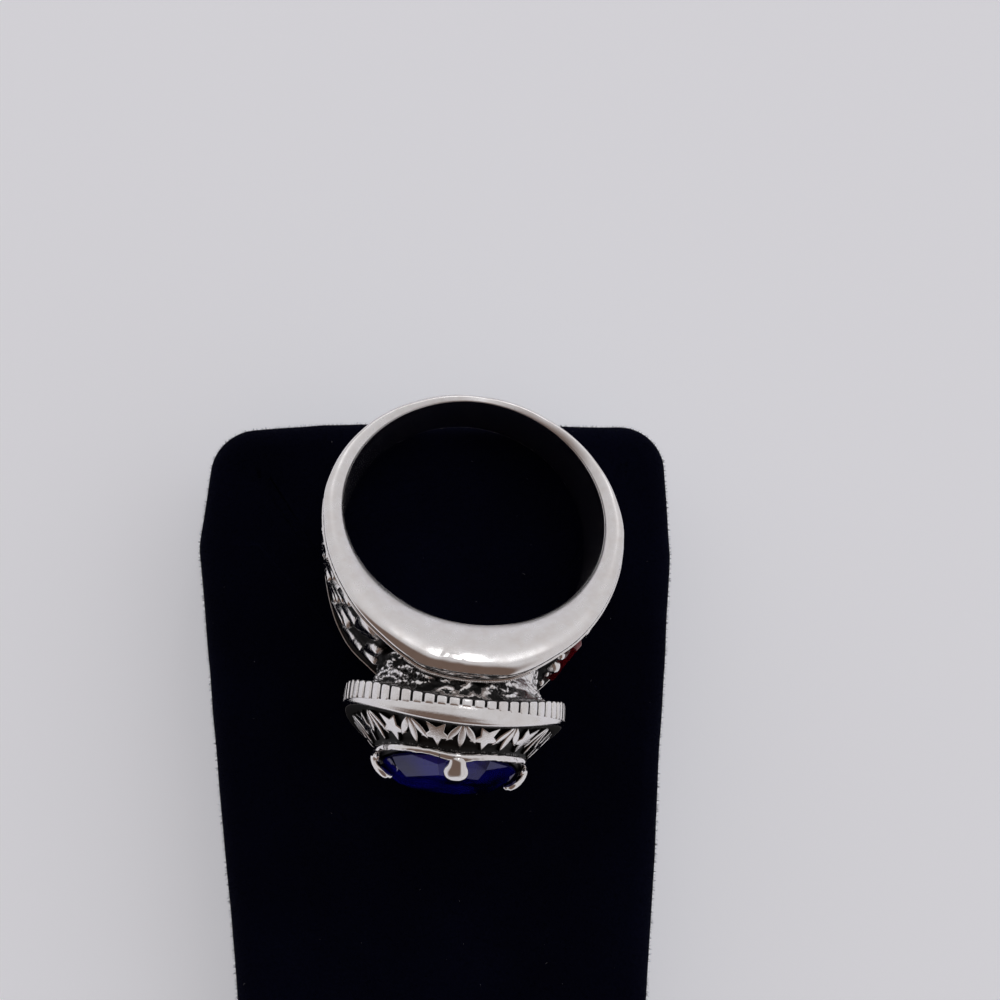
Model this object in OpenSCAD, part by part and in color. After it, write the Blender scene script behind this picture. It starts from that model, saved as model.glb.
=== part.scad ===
// A heavy cast silver ring with a round blue stone, lying on its side on a velvet display pad.
// Millimetres. The origin is in the middle of everything at the bottom, Z is up and the head points to -Y.
// The ring is drawn upright first: finger axis along Y, head up along Z. Angles round it start at the head.

/* [Finger hole] */
// Radius of the finger hole
bore_r = 9.9; // [9.5:0.1:10.3]

/* [Shank] */
// Half the width of the band at the hole, at the back
back_half_w = 2.2; // [2:0.1:2.6]
// Half the width of the band at the hole, under the head
head_half_w = 5.6; // [5.2:0.1:6]
// How far the side faces bulge out under the head
side_bulge = 0.4; // [0:0.05:0.6]
// Width of the rail along each edge of a shoulder
rail_w = 0.4; // [0.3:0.05:0.5]
// Depth of the shoulder panels below their rails
panel_depth = 0.4; // [0.2:0.05:0.5]
// How far the ornament stands above the panels
relief_h = 0.35; // [0.25:0.05:0.5]
// How far the bars with the enamel stand above the right shoulder's panel
bar_h = 0.5; // [0.4:0.05:0.9]

/* [Head] */
// Height of the whole casting, from the back of the band to the tip of the near claw
casting_h = 31.8; // [31:0.1:33]
// Radius of the coin-edged flange
flange_r = 8.0; // [7.8:0.1:8.2]
// Depth of the grooves between the reeds
reed_depth = 0.22; // [0.15:0.01:0.3]
// How far the rim dips between two claws
scallop = 0.2; // [0:0.1:0.9]
// How far the stars and leaves stand above the tapered band
band_relief = 0.35; // [0.2:0.05:0.4]

/* [Stone] */
// Radius of the stone at its girdle
stone_r = 4.75; // [4.6:0.05:4.8]
// Radius of the table, corner to centre
table_r = 3.6; // [3:0.1:3.8]
// Height of the crown above the girdle
crown_h = 1.1; // [0.9:0.1:1.3]
// Depth of the pavilion below the girdle
pavilion_h = 3.0; // [2.6:0.1:3.2]

/* [Pad] */
// Length of the pad
pad_l = 60; // [58:1:80]
// Thickness of the pad
pad_t = 12; // [8:1:20]
// Radius of the pad's soft top edge
pad_edge_r = 2.5; // [1.5:0.5:3.5]

/* [Hidden] */
gap = 0.05;
// Between the enamel and the curved panel under it
enamel_gap = 0.08;
// Heights of the stone above the finger's middle
girdle_z = 18.65;
girdle_h = 0.2;

// Where the ring lies: it rests on the flange's edge and on the back of the band
lie_tilt = 12.1;
lie_turn = -5.8;
lie_height = 4.33;
// The finger hole's middle, from the middle of everything
ring_at = [1.55, 19.34];
// The pad's outline as seen from above: middle of each corner from the hole's middle, and the corner's radius
PAD = [
    [-16.9, 5, 3.9],
    [-11.5, 5.8, 3.9],
    [13.9, 6.6, 4],
    [14.1, -1, 4.1],
    [9.1, 15.3 - pad_l, 5],
    [-10.1, 15.3 - pad_l, 5],
    [-17.2, -1, 4.1],
];

// Shank, by angle from the head: radius of the rail, half width over the rails, radius of the outer middle
SHANK = [
    [0, 14.1, 7.1, 12.9],
    [12, 14.1, 7.1, 12.7],
    [24, 13.45, 6.9, 12.0],
    [27, 13.3, 6.8, 12.85],
    [36, 12.92, 6.4, 12.45],
    [47, 12.42, 5.9, 11.75],
    [55, 12.1, 5.35, 11.45],
    [65, 11.8, 4.8, 11.25],
    [75, 11.55, 4.35, 11.2],
    [85, 11.4, 3.95, 11.3],
    [100, 11.1, 3.45, 11.45],
    [120, 10.8, 2.95, 11.4],
    [150, 10.5, 2.4, 11.25],
    [180, 10.4, 2.25, 11.2],
];
HEAD_END = 24;
PANEL_END = 70;
RAIL_END = 82;
T_HEAD = [for (t = [0:4:HEAD_END]) t];
T_LEAVES = [for (t = [27:2.75:RAIL_END]) t];
T_BARS = [27, 29, 31.8, 34.6, 36.4, 42.2, 42.9, 46.7, 47.4, 51.4, 52.1, 55.8, 56.5, 59, 61.5, 64, 66.5, 69, 71.5, 74, 76.5, RAIL_END];
T_BACK = [for (t = [RAIL_END + 8:9:180]) t];
// All angles from the back over the right shoulder and the head to the left one
T_RIGHT = concat(T_HEAD, T_BARS, T_BACK);
T_LEFT = concat(T_HEAD, T_LEAVES, T_BACK);
T_ALL = concat(
    [for (i = [len(T_RIGHT) - 1:-1:0]) T_RIGHT[i]],
    [for (i = [1:len(T_LEFT) - 2]) -T_LEFT[i]]
);
// Shares of the panel's half width at which the relief has its points
ACROSS = [0.82, 0.6, 0.4, 0.2, 0];

function shank(col, t) = lookup(abs(t), [for (row = SHANK) [row[0], row[col]]]);
function headness(t) = (1 + cos(t)) / 2;
function half_w(t) = back_half_w + (head_half_w - back_half_w) * pow(headness(t), 1.5);
function recess(t) = abs(t) <= HEAD_END ? 0 : panel_depth * lookup(abs(t), [[PANEL_END, 1], [RAIL_END, 0]]);
// Radius of the outer surface between the rails, v from the middle
function floor_r(t, v) =
    let (edge = abs(t) <= HEAD_END ? shank(3, t) : shank(1, t) - recess(t))
    let (x = v / shank(2, t))
    edge + (shank(3, t) - edge) * (1 - x * x);
function side_point(t, f) =
    let (r = bore_r + (shank(1, t) - bore_r) * f)
    [r, half_w(t) + (shank(2, t) - half_w(t)) * f + side_bulge * headness(t) * 4 * f * (1 - f)];
// Height of the relief, k counts the points across from the rail to the middle and n the rows from the head
function is_bar(t) = (t > 42.5 && t < 47) || (t > 51.8 && t < 56);
function right_relief(t, n, k) =
    t < 35 ? (abs(t - 31.8) < 1 && k % 2 == 0 ? bar_h : 0)
    : t < 56.4 ? (is_bar(t) ? bar_h : 0)
    : t < 57 || (n + k) % 2 == 1 ? 0 : relief_h;
function left_relief(n, k) = (n + k) % 2 == 0 ? relief_h : 0;
function row_of(list, t) = search(t, list)[0];
function relief(t, k) =
    abs(t) <= HEAD_END || abs(t) >= PANEL_END ? 0
    : t > 0 ? right_relief(t, row_of(T_BARS, t), k)
    : left_relief(row_of(T_LEAVES, -t), k);
// Half of the band's section, from the hole to the outer middle, as radius and distance from the middle
function half_section(t) =
    let (in = shank(2, t) - rail_w)
    concat(
        [[bore_r - 0.6, half_w(t)]],
        [for (f = [0.3, 0.55, 0.8, 1]) side_point(t, f)],
        [[shank(1, t), in + 0.05], [floor_r(t, in), in - 0.05]],
        [for (k = [0:len(ACROSS) - 1]) [floor_r(t, in * ACROSS[k]) + relief(t, k), in * ACROSS[k]]]
    );
function section(t) =
    let (half = half_section(t))
    concat(half, [for (i = [len(half) - 2:-1:0]) [half[i][0], -half[i][1]]]);
function round_finger(t, r, v) = [r * sin(t), v, r * cos(t)];

// Head, from the neck's foot over the flange and the rim into the stone's seat:
// radius, height, arch, share of the scallop, share of the reed depth, row of the relief
HEAD = [
    [6.45, 10.9, 0, 0, 0, 0],
    [5.7, 12, 0, 0, 0, 0],
    [5.7, 13, 0.01, 0, 0, 0],
    [6.1, 14.2, 0.02, 0, 0, 0],
    [6.6, 15.1, 0.03, 0, 0, 0],
    [flange_r - 0.9, 15.5, 0.034, 0, 0.4, 0],
    [flange_r - 0.3, 15.75, 0.034, 0, 1, 0],
    [flange_r - 0.1, 16.7, 0.034, 0, 0.7, 0],
    [flange_r, 16.95, 0.034, 0, 0, 0],
    [flange_r - 0.3, 17.4, 0.034, 0, 0, 0],
    [6.9, 17.25, 0.032, 0, 0, 0],
    [6.5, 17.45, 0.031, 0, 0, 1],
    [6.08, 17.75, 0.03, 0, 0, 2],
    [5.66, 18.05, 0.029, 0, 0, 3],
    [5.25, 18.35, 0.028, 0.3, 0, 0],
    [5.6, 18.7, 0.025, 0.6, 0, 0],
    [5.55, 19.2, 0.025, 1, 0, 0],
    [5, 19.2, 0.025, 1, 0, 0],
];
SEAT = [[stone_r + gap, girdle_z - gap], [0.5, girdle_z - gap - pavilion_h]];
HEAD_SIDES = 120;
function dip(a) = scallop * (1 - pow(abs(cos(2 * a)), 1.5));
function round_head(a, r, z, arch) = [r * cos(a), r * sin(a), z - arch * pow(r * cos(a), 2)];
// Stars with leaves between each two, in three rows of the tapered band
function band_lift(row, i) =
    let (j = abs(i % 12 - 6))
    row == 0 ? 0 : j == 0 || (row == 2 && j <= 2) || (row < 3 && j == 6) ? band_relief : 0;

// A claw, from its foot to its tip: outer radius and height, inner radius and height, width
CLAW = [
    [5.48, 17.55, 4.92, 18.15, 1.84],
    [5.66, 18.7, 4.92, 18.8, 1.5],
    [5.6, 19.3, 4.86, 18.95, 1.12],
    [5.36, 19.9, 4.76, 19, 1.3],
    [4.95, 20.4, 4.5, 19.15, 1.64],
    [4.45, 20.6, 4.2, 19.35, 1.6],
    [4, 20.45, 3.95, 19.5, 1.1],
];
CLAW_SIDES = 10;
// How far each claw's outer side is worn down, by its angle round the head
CLAW_WORN = [[0, 0], [90, 0], [180, 0], [270, 0.8]];

// Rings of points, each ring closed, joined in order. With loop the last ring joins the first, otherwise fans close the ends.
function ring_faces(n, m, loop) = [
    for (i = [0:n - (loop ? 1 : 2)], j = [0:m - 1])
        each let (a = i * m + j, b = i * m + (j + 1) % m, c = ((i + 1) % n) * m + j, d = ((i + 1) % n) * m + (j + 1) % m)
            [[a, b, d], [a, d, c]]
];
module rings(points, m, loop = false) {
    n = len(points) / m;
    last = (n - 1) * m;
    ends = [for (j = [1:m - 2]) each [[0, j + 1, j], [last, last + j, last + j + 1]]];
    polyhedron(points, concat(ring_faces(n, m, loop), loop ? [] : ends));
}

module band_of_ring() {
    m = len(section(0));
    rings([for (t = T_ALL) each [for (p = section(t)) round_finger(t, p[0], p[1])]], m, true);
}

module head_of_ring() {
    outside = [
        for (row = HEAD)
            each [for (i = [0:HEAD_SIDES - 1])
                let (a = -i * 360 / HEAD_SIDES, groove = i % 2 == 0 ? reed_depth * row[4] : 0, lift = band_lift(row[5], i))
                round_head(a, row[0] - groove + 0.6 * lift, row[1] - row[3] * dip(a) + 0.8 * lift, row[2])]
    ];
    seat = [
        for (row = SEAT)
            each [for (i = [0:HEAD_SIDES - 1]) round_head(-i * 360 / HEAD_SIDES, row[0], row[1], 0)]
    ];
    rings(concat(outside, seat), HEAD_SIDES);
}

module claw(a, worn) {
    rings([
        for (row = CLAW)
            each [for (i = [0:CLAW_SIDES - 1])
                let (b = -i * 360 / CLAW_SIDES, outer_z = row[1] - worn - 0.025 * pow(row[0] * cos(a), 2))
                let (r = (row[0] + row[2]) / 2 + (row[0] - row[2]) / 2 * cos(b))
                let (z = (outer_z + row[3]) / 2 + (outer_z - row[3]) / 2 * cos(b), side = row[4] / 2 * sin(b))
                [r * cos(a) - side * sin(a), r * sin(a) + side * cos(a), z]]
    ], CLAW_SIDES);
}

// An enamel bar on the right shoulder from angle t, l long and w half wide, clear of the panel under it
module enamel_bar(t, l, w, rise) {
    outline = [[0, 0], [0, w], [l, w], [l, 0], [l, -w], [0, -w]];
    function at(p, h) =
        let (a = t + p[0] / 12.5 * 180 / PI)
        round_finger(a, floor_r(a, p[1]) + h, p[1]);
    rings(concat(
        [for (p = outline) at(p, enamel_gap)],
        [for (p = outline) at([l / 2, 0] + (p - [l / 2, 0]) * 0.94, rise * 0.7)],
        [for (p = outline) at([l / 2, 0] + (p - [l / 2, 0]) * 0.7, rise)]
    ), 6);
}

module casting() {
    band_of_ring();
    head_of_ring();
    for (c = CLAW_WORN) {
        claw(c[0], c[1]);
    }
}

// From upright to lying on the pad
module laid() {
    translate([ring_at[0], ring_at[1], pad_t + lie_height])
        rotate([0, 0, lie_turn])
        rotate([90 - lie_tilt, 0, 0])
        children();
}

module ring_body() {
    color("silver")
        laid()
        difference() {
            resize([0, 0, casting_h])
                casting();
            rotate([90, 0, 0])
                cylinder(r = bore_r, h = 30, center = true, $fn = 128);
        }
}

module stone() {
    sides = 16;
    table = [for (i = [0:sides - 1]) let (a = -22.5 * i, r = i % 2 == 0 ? table_r : table_r * 0.93) [r * cos(a), r * sin(a), crown_h + girdle_h]];
    shoulder = [for (i = [0:sides - 1]) let (a = -22.5 * i, r = i % 2 == 0 ? 0.84 : 0.8) [r * stone_r * cos(a), r * stone_r * sin(a), girdle_h + crown_h * 0.5]];
    top = [for (i = [0:sides - 1]) let (a = -22.5 * i) [stone_r * cos(a), stone_r * sin(a), girdle_h]];
    bottom = [for (p = top) [p[0], p[1], 0]];
    culet = [for (i = [0:sides - 1]) let (a = -22.5 * i) [0.4 * cos(a), 0.4 * sin(a), -pavilion_h]];
    color("mediumblue")
        laid()
        translate([0, 0, girdle_z])
        rings(concat(culet, bottom, top, shoulder, table), sides);
}

module enamel() {
    color("crimson")
        laid()
        {
            enamel_bar(37, 1, 4.4, bar_h * 0.9);
            enamel_bar(47.9, 0.66, 3.8, bar_h * 0.8);
        }
}

module display_pad() {
    color("black")
        translate([ring_at[0], ring_at[1], 0])
        hull()
        for (c = PAD, a = [0:22.5:90]) {
            translate([c[0], c[1], a == 0 ? 0 : pad_t - pad_edge_r * (1 - sin(a)) - 0.01])
                cylinder(r = c[2] - pad_edge_r * (1 - cos(a)), h = a == 0 ? pad_t - pad_edge_r : 0.01, $fn = 32);
        }
}

ring_body();
stone();
enamel();
display_pad();
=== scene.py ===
"""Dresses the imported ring: a heavy cast silver ring with a round blue stone, lying on a black velvet pad.

Each form is drawn in millimetres in the ring's own upright frame, with X across the finger, Y along the
finger axis and Z towards the stone. It is laid on the pad and turned to metres when its mesh is written.
Places on the band are given by t, the angle from the head in degrees, v, the distance from its middle, and
r, the radius. Places on the head are given by a radius, an angle from +X towards the seen side and a height.
"""
import logging
import math
from collections.abc import Callable
from dataclasses import dataclass, field
from enum import Enum
from functools import partial

import bpy
import numpy as np
from bpy.types import Material, Mesh, Node, NodeSocket, NodeTree, Object
from mathutils import Matrix, Vector, noise


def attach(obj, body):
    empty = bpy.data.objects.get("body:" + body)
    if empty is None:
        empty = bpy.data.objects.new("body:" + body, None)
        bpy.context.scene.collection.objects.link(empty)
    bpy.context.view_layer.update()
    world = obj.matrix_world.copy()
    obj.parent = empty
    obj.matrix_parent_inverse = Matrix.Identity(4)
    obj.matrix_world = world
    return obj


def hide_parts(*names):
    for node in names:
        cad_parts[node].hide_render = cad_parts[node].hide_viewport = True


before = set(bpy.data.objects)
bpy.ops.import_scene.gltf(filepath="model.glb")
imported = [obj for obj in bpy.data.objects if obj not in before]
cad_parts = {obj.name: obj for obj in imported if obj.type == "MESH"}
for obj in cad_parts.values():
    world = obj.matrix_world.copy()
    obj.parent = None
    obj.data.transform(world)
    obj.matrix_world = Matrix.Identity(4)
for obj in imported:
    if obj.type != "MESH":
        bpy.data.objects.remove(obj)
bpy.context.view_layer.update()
LOG = logging.getLogger("ring")
BODY = "root"
MM = 0.001
Array = np.ndarray
# The kinds of node that stand in many trees
BUMP = "ShaderNodeBump"
COMBINE = "ShaderNodeCombineXYZ"
MATH = "ShaderNodeMath"
MIX = "ShaderNodeMix"
NOISE = "ShaderNodeTexNoise"
OUTPUT = "ShaderNodeOutputMaterial"
PRINCIPLED = "ShaderNodeBsdfPrincipled"
RANGE = "ShaderNodeMapRange"
ADD = {"operation": "ADD"}
MULTIPLY = {"operation": "MULTIPLY"}


def to_linear(colour: str) -> tuple[float, float, float, float]:
    """Turn an sRGB hex colour to the linear values that shaders take.

    Args:
        colour: six hex digits.

    Returns:
        Red, green, blue and alpha, linear, from 0 to 1.
    """
    parts = [int(colour[i:i + 2], 16) / 255 for i in (0, 2, 4)]
    linear = [c / 12.92 if c <= 0.04045 else ((c + 0.055) / 1.055) ** 2.4 for c in parts]
    return (*linear, 1.0)


def add_node(tree: NodeTree, kind: str, settings: dict | None = None, links: dict | None = None) -> Node:
    """Add one node with its settings and links.

    Args:
        tree: the shader or geometry tree.
        kind: the node's type name.
        settings: attribute names, or socket names or numbers, with their values.
        links: input names or numbers, with the output sockets that feed them, or a node for its first one.

    Returns:
        The new node.
    """
    node = tree.nodes.new(kind)
    for name, value in (settings or {}).items():
        if isinstance(name, str) and hasattr(node, name):
            setattr(node, name, value)
        else:
            node.inputs[name].default_value = value
    for name, source in (links or {}).items():
        socket = source if isinstance(source, NodeSocket) else source.outputs[0]
        tree.links.new(socket, node.inputs[name])
    return node


def new_material(name: str) -> tuple[Material, Callable[..., Node], Node]:
    """Start a finish, with object coordinates turned to millimetres.

    Args:
        name: what the material is.

    Returns:
        The material, what adds a node to its tree, and the node that gives the place in millimetres.
    """
    material = bpy.data.materials.new(name)
    material.use_nodes = True
    material.node_tree.nodes.clear()
    add = partial(add_node, material.node_tree)
    place = add("ShaderNodeTexCoord").outputs["Object"]
    return material, add, add("ShaderNodeMapping", {"Scale": (1 / MM,) * 3}, {"Vector": place})


@dataclass(frozen=True)
class Rest:
    """How the ring lies on the pad, as in the part's source: angles in degrees, lengths in millimetres."""

    tilt: float = 12.1
    turn: float = -5.8
    at: tuple[float, float] = (1.55, 19.34)
    pad_top: float = 12.0
    height: float = 4.33

    def matrix(self) -> Matrix:
        """Give the turn and shift from the upright ring to where it lies, in millimetres.

        Returns:
            The matrix.
        """
        place = Matrix.Translation((*self.at, self.pad_top + self.height))
        lean = Matrix.Rotation(math.radians(90 - self.tilt), 4, "X")
        return place @ Matrix.Rotation(math.radians(self.turn), 4, "Z") @ lean

    def lay(self, points: Array) -> Array:
        """Lay rows of x, y, z of the upright ring on the pad, in metres in the row's frame."""
        m = np.array(self.matrix())
        return (points @ m[:3, :3].T + m[:3, 3]) * MM


REST = Rest()


def new_piece(name: str, points: Array, faces: list | Array, material: Material, smooth: bool = True,
              attributes: dict[str, Array] | None = None) -> Object:
    """Make one object at the origin from points in metres.

    Args:
        name: the piece's plain name.
        points: rows of x, y, z in metres.
        faces: rows of point numbers.
        material: the finish.
        smooth: whether faces shade smooth.
        attributes: point values by name.

    Returns:
        The linked object.
    """
    mesh = bpy.data.meshes.new(name)
    mesh.from_pydata(np.asarray(points).tolist(), [], faces if isinstance(faces, list) else faces.tolist())
    for key, values in (attributes or {}).items():
        layer = mesh.attributes.new(key, "FLOAT", "POINT")
        layer.data.foreach_set("value", np.asarray(values, dtype=np.float32).ravel())
    mesh.polygons.foreach_set("use_smooth", [smooth] * len(mesh.polygons))
    mesh.materials.append(material)
    obj = bpy.data.objects.new(name, mesh)
    bpy.context.scene.collection.objects.link(obj)
    return obj


def new_form(name: str, points: Array, faces: list | Array, **attributes: Array) -> Object:
    """Make one small form for a tree to copy, with no finish of its own."""
    blank = bpy.data.materials.get("form") or bpy.data.materials.new("form")
    return new_piece(name, points, faces, blank, attributes=attributes)


def grid_faces(rows: int, columns: int, close_rows: bool = False, close_columns: bool = False,
               flip: bool = False) -> Array:
    """Give the quads of a grid of points, row after row.

    Args:
        rows: number of rows.
        columns: points in a row.
        close_rows: whether the last row joins the first.
        close_columns: whether each row is a loop.
        flip: whether faces turn the other way.

    Returns:
        Rows of four point numbers.
    """
    i = np.arange(rows if close_rows else rows - 1)
    j = np.arange(columns if close_columns else columns - 1)
    a, b = np.meshgrid(i, j, indexing="ij")
    a, b = a.ravel(), b.ravel()
    c, d = (a + 1) % rows, (b + 1) % columns
    quad = np.stack([a * columns + b, a * columns + d, c * columns + d, c * columns + b], axis=1)
    return quad[:, ::-1] if flip else quad


def capped_faces(rows: int, columns: int, flip: bool = False) -> list[list[int]]:
    """Give the faces of a row of loops of points, closed by one face at each end.

    Args:
        rows: number of loops.
        columns: points in a loop.
        flip: whether faces turn the other way.

    Returns:
        Lists of point numbers.
    """
    end = (rows - 1) * columns
    caps = [list(range(end, end + columns)), list(range(columns))[::-1]]
    if flip:
        caps = [cap[::-1] for cap in reversed(caps)]
    return grid_faces(rows, columns, False, True, flip).tolist() + caps


def smoothstep(low: float, high: float, value: Array) -> Array:
    """Rise smoothly from 0 at low to 1 at high, or fall where low is the higher one."""
    x = np.clip((value - low) / (high - low), 0, 1)
    return x * x * (3 - 2 * x)


def rough(points: Array, size: float, seed: float, octaves: int = 3) -> Array:
    """Give smooth noise from about -1 to 1 at each point.

    Args:
        points: rows of x, y, z.
        size: size of its coarsest lumps, in the points' unit.
        seed: shift that picks the pattern.
        octaves: how many finer layers are added.

    Returns:
        One value for each point.
    """
    shift = Vector((seed, -seed, seed * 0.7))
    return np.array([noise.fractal(Vector(p) / size + shift, 0.6, 2.0, octaves) for p in points])


def ridges(points: Array, stretch: tuple[float, float, float], seed: float) -> Array:
    """Give sharp-crested noise, as of metal left rough from the mould.

    Args:
        points: rows of x, y, z.
        stretch: how many lumps go to a unit along each axis.
        seed: shift that picks the pattern.

    Returns:
        One value from 0 to 1 for each point.
    """
    by = Vector(stretch)
    shift = Vector((seed, seed * 0.3, -seed))
    crests = [noise.ridged_multi_fractal(Vector(p) * by + shift, 0.8, 2.1, 4, 1.0, 2.0) for p in points]
    values = np.array(crests)
    low, high = np.percentile(values, (3, 97))
    return np.clip((values - low) / (high - low), 0, 1)


def on_band(t: Array, v: Array, r: Array) -> Array:
    """Give rows of x, y, z for places on the band: angle in degrees, distance from the middle, radius."""
    a = np.radians(t)
    return np.stack([r * np.sin(a), v, r * np.cos(a)], axis=-1).reshape(-1, 3)


def on_head(a: Array, r: Array, z: Array) -> Array:
    """Give rows of x, y, z for places on the head: angle in radians, radius and height."""
    return np.stack([r * np.cos(a), r * np.sin(a), z], axis=-1).reshape(-1, 3)


class SilverWork(Enum):
    """The ways in which the casting's surfaces are worked."""

    SATIN = "satin"
    POLISHED = "polished"
    RELIEF = "relief"


@dataclass(frozen=True)
class CastSilver:
    """Cast sterling silver: pale and bright where it is rubbed, with black patina left in what lies low.

    The point attribute of patina and painted shade says from 0 to 1 where the dark stays, and polish where
    the metal is a mirror.
    """

    work: SilverWork
    roughness: float
    grain: float
    silver: str = "F3F1F1"
    warm: str = "D9CFC8"
    patina: str = "0B0A0A"
    polished: float = 0.07
    tarnished: float = 0.55

    def build(self) -> Material:
        """Build the finish: clouded tone, patina with a ragged edge, fine rubbed lines and small pits.

        Returns:
            The finish.
        """
        material, add, place = new_material(f"cast_silver_{self.work.value}")
        patina_and_shade_value = add("ShaderNodeAttribute", {"attribute_name": "patina"})
        bright = add("ShaderNodeAttribute", {"attribute_name": "polish"})
        cloud = add(NOISE, {"Scale": 1.1, "Detail": 5.0, "Roughness": 0.6}, {"Vector": place})
        speck = add(NOISE, {"Scale": 7.0, "Detail": 4.0, "Roughness": 0.7}, {"Vector": place})
        # A ragged edge a tenth of a millimetre wide between bare metal and patina
        ragged = add(RANGE, {"From Min": 0.3, "From Max": 0.7, "To Min": -0.2, "To Max": 0.2},
                     {"Value": speck})
        level = add(MATH, ADD, {0: patina_and_shade_value.outputs["Fac"], 1: ragged})
        mask = add(RANGE, {"interpolation_type": "SMOOTHSTEP", "From Min": 0.36, "From Max": 0.62},
                   {"Value": level})
        tone = add(RANGE, {"From Min": 0.4, "From Max": 0.72, "To Max": 0.35}, {"Value": cloud})
        metal = add(MIX, {"data_type": "RGBA", 6: to_linear(self.silver), 7: to_linear(self.warm)}, {0: tone})
        colour = add(MIX, {"data_type": "RGBA", 7: to_linear(self.patina)}, {0: mask, 6: metal.outputs[2]})
        gloss = add(RANGE, {"From Min": 0.35, "From Max": 0.7, "To Min": self.roughness * 0.88,
                            "To Max": self.roughness * 1.15}, {"Value": cloud})
        mirror = add(MIX, {"data_type": "FLOAT", 3: self.polished}, {0: bright.outputs["Fac"], 2: gloss})
        dull = add(MIX, {"data_type": "FLOAT", 3: self.tarnished}, {0: mask, 2: mirror})
        bare_and_lit = add(RANGE, {"To Min": 1.0, "To Max": 0.3}, {"Value": mask})
        # Lines rubbed along the band, with pits under a tenth of a millimetre
        along = add("ShaderNodeMapping", {"Scale": (1.0, 9.0, 1.0), "Rotation": (0.3, 0.2, 0.6)},
                    {"Vector": place})
        lines = add(NOISE, {"Scale": 2.0, "Detail": 6.0, "Roughness": 0.7}, {"Vector": along})
        wear = add(MATH, ADD, {0: lines, 1: speck})
        bump = add(BUMP, {"Strength": 1.0, "Distance": self.grain * MM}, {"Height": wear})
        shader = add(PRINCIPLED, {}, {"Base Color": colour.outputs[2], "Roughness": dull, "Metallic": bare_and_lit,
                                      "Normal": bump})
        add(OUTPUT, {}, {"Surface": shader})
        return material


@dataclass(frozen=True)
class StoneGlass:
    """Synthetic blue spinel, cut and polished: royal blue, with patches painted nearly black as painted
    shade.
    """

    # The near-black of the painted shade, and the stone's clear blue
    deep: str = "07082C"
    clear: str = "1713B4"
    gleam: str = "B4B4EC"

    def build(self) -> Material:
        """Build the finish, with patches of some millimetres painted near-black, as painted shade, on the
        royal blue.

        Returns:
            The finish.
        """
        material, add, place = new_material("cut_blue_stone")
        # Painted shade: slow noise colours patches of some millimetres of the stone near-black
        painted_shade_patches = add(NOISE, {"Scale": 0.24, "Detail": 1.0}, {"Vector": place})
        tint = add("ShaderNodeValToRGB", {}, {"Fac": painted_shade_patches})
        for stop, position, colour in zip(tint.color_ramp.elements, (0.42, 0.6), (self.deep, self.clear)):
            stop.position = position
            stop.color = to_linear(colour)
        shader = add(PRINCIPLED, {"Roughness": 0.03, "IOR": 1.95, "Transmission Weight": 0.5,
                                  "Specular Tint": to_linear(self.gleam)}, {"Base Color": tint})
        add(OUTPUT, {}, {"Surface": shader})
        return material


@dataclass(frozen=True)
class FiredEnamel:
    """Glass enamel fired in the recess: dark red, glossy and slightly wavy where it cooled."""

    red: str = "8E1420"
    pooled: str = "3F060C"

    def build(self) -> Material:
        """Build the finish, with darker pools and a ripple of 0.4 mm.

        Returns:
            The finish.
        """
        material, add, place = new_material("fired_red_enamel")
        cloud = add(NOISE, {"Scale": 2.4, "Detail": 3.0}, {"Vector": place})
        colour = add(MIX, {"data_type": "RGBA", 6: to_linear(self.red), 7: to_linear(self.pooled)},
                     {0: cloud})
        bump = add(BUMP, {"Strength": 0.5, "Distance": 0.02 * MM}, {"Height": cloud})
        shader = add(PRINCIPLED, {"Roughness": 0.12, "IOR": 1.52},
                     {"Base Color": colour.outputs[2], "Normal": bump})
        add(OUTPUT, {}, {"Surface": shader})
        return material


@dataclass(frozen=True)
class FlockedVelvet:
    """Short black rayon pile: it drinks the light, with a faint cold bloom where it is seen edge on."""

    dark: str = "04040E"
    light: str = "10132A"
    bloom: str = "3A4058"

    def build(self) -> Material:
        """Build the finish, with pile of 0.25 mm and slow patches where the nap lies another way.

        Returns:
            The finish.
        """
        material, add, place = new_material("flocked_black_velvet")
        pile = add(NOISE, {"Scale": 4.0, "Detail": 4.0, "Roughness": 0.7}, {"Vector": place})
        nap = add(NOISE, {"Scale": 0.12, "Detail": 3.0}, {"Vector": place})
        both = add(MATH, MULTIPLY, {0: pile, 1: nap})
        colour = add(MIX, {"data_type": "RGBA", 6: to_linear(self.dark), 7: to_linear(self.light)}, {0: both})
        bump = add(BUMP, {"Strength": 0.8, "Distance": 0.12 * MM}, {"Height": pile})
        shader = add(PRINCIPLED, {"Roughness": 1.0, "Specular IOR Level": 0.02, "Sheen Weight": 0.12,
                                  "Sheen Roughness": 0.3, "Sheen Tint": to_linear(self.bloom)},
                     {"Base Color": colour.outputs[2], "Normal": bump})
        add(OUTPUT, {}, {"Surface": shader})
        return material


@dataclass(frozen=True)
class PlainFinish:
    """A plain matt surface with a faint mottle, for lint and for the card below everything."""

    name: str
    colour: str
    mottle: float
    glow: float = 0.0

    def build(self) -> Material:
        """Build the finish, with its roughness varied at the mottle's scale to a millimetre.

        Returns:
            The finish.
        """
        material, add, place = new_material(self.name)
        cloud = add(NOISE, {"Scale": self.mottle, "Detail": 3.0}, {"Vector": place})
        value = add(RANGE, {"To Min": 0.74, "To Max": 0.88}, {"Value": cloud})
        colour = to_linear(self.colour)
        shader = add(PRINCIPLED, {"Base Color": colour, "Specular IOR Level": 0.2, "Emission Color": colour,
                                  "Emission Strength": self.glow}, {"Roughness": value})
        add(OUTPUT, {}, {"Surface": shader})
        return material


def hand_over(obj: Object, slot: str, *nodes: str) -> Object:
    """Ride a finished piece on the body and hide the CAD nodes that it stands for.

    Args:
        obj: the finished piece.
        slot: not used.
        nodes: the CAD nodes that it stands for.

    Returns:
        The same piece.
    """
    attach(obj, BODY)
    if nodes:
        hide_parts(*nodes)
    LOG.info("%s: %d faces", obj.name, len(obj.data.polygons))
    return obj


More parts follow.
